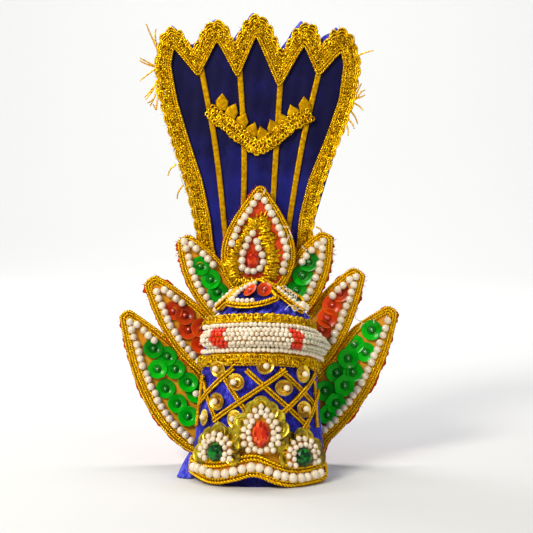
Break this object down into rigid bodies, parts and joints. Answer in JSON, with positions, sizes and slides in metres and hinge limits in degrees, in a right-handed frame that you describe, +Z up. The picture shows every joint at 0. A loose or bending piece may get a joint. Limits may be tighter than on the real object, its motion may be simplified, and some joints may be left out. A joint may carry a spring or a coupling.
{
  "type": "deity crown",
  "caption": "Small festival crown: hollow velvet cap with brow band, rosettes, braid lattice and bead roll, jewelled petals behind it and a tall pointed fan at the back.",
  "frame": {"origin": "on the surface that the crown stands on, under the middle of its overall box", "axes": "+X towards the viewer's right, +Y from the front of the cap to the fan behind it, +Z up"},
  "size_m": [0.1198, 0.0772, 0.1923],
  "materials": {
    "velvet": "royal blue velvet pile",
    "blue_satin": "navy satin over card",
    "gold_satin": "golden yellow satin over card",
    "felt": "orange-red felt",
    "thread": "loose white sewing thread",
    "braid": "woven metallic gold thread",
    "pearl": "creamy pearl lustre",
    "gold_sequin": "metallic gold foil",
    "green_sequin": "clear emerald foil",
    "red_sequin": "clear orange-red foil",
    "green_stone": "faceted, foil backed",
    "red_stone": "faceted, foil backed"
  },
  "bodies": {
    "root": {"cap_wall": "velvet", "cap_dome": "velvet", "hem_flap": "velvet", "bead_roll": "pearl", "roll_braid_top": "braid", "roll_braid_bottom": "braid", "lattice_braid": "braid", "brow_band": "gold_satin", "brow_braid": "braid", "brow_pearls": "pearl", "rosette_centre_sequins": "gold_sequin", "rosette_centre_pearls": "pearl", "rosette_centre_stone": "red_stone", "rosette_left_sequins": "gold_sequin", "rosette_left_pearls": "pearl", "rosette_left_stone": "green_stone", "rosette_right_sequins": "gold_sequin", "rosette_right_pearls": "pearl", "rosette_right_stone": "green_stone", "dome_petal_left": "braid", "dome_petal_front": "braid", "dome_petal_right": "braid", "petal_centre_panel": "gold_satin", "petal_centre_braid": "braid", "petal_centre_pearls": "pearl", "petal_centre_purl": "braid", "petal_centre_drop": "pearl", "petal_centre_stone": "red_stone", "petal_left_upper_panel": "gold_satin", "petal_left_upper_braid": "braid", "petal_left_upper_pearls": "pearl", "petal_left_upper_sequins": "green_sequin", "petal_right_upper_panel": "gold_satin", "petal_right_upper_braid": "braid", "petal_right_upper_pearls": "pearl", "petal_right_upper_sequins": "green_sequin", "petal_left_middle_panel": "gold_satin", "petal_left_middle_braid": "braid", "petal_left_middle_pearls": "pearl", "petal_left_middle_sequins": "red_sequin", "petal_right_middle_panel": "gold_satin", "petal_right_middle_braid": "braid", "petal_right_middle_pearls": "pearl", "petal_right_middle_sequins": "red_sequin", "petal_left_lower_panel": "gold_satin", "petal_left_lower_braid": "braid", "petal_left_lower_pearls": "pearl", "petal_left_lower_sequins": "green_sequin", "petal_right_lower_panel": "gold_satin", "petal_right_lower_braid": "braid", "petal_right_lower_pearls": "pearl", "petal_right_lower_sequins": "green_sequin", "fan_panel": "blue_satin", "fan_braid": "braid", "fan_rib_1": "braid", "fan_rib_2": "braid", "fan_rib_3": "braid", "fan_rib_4": "braid", "fan_swag": "braid"}
  },
  "joints": []
}
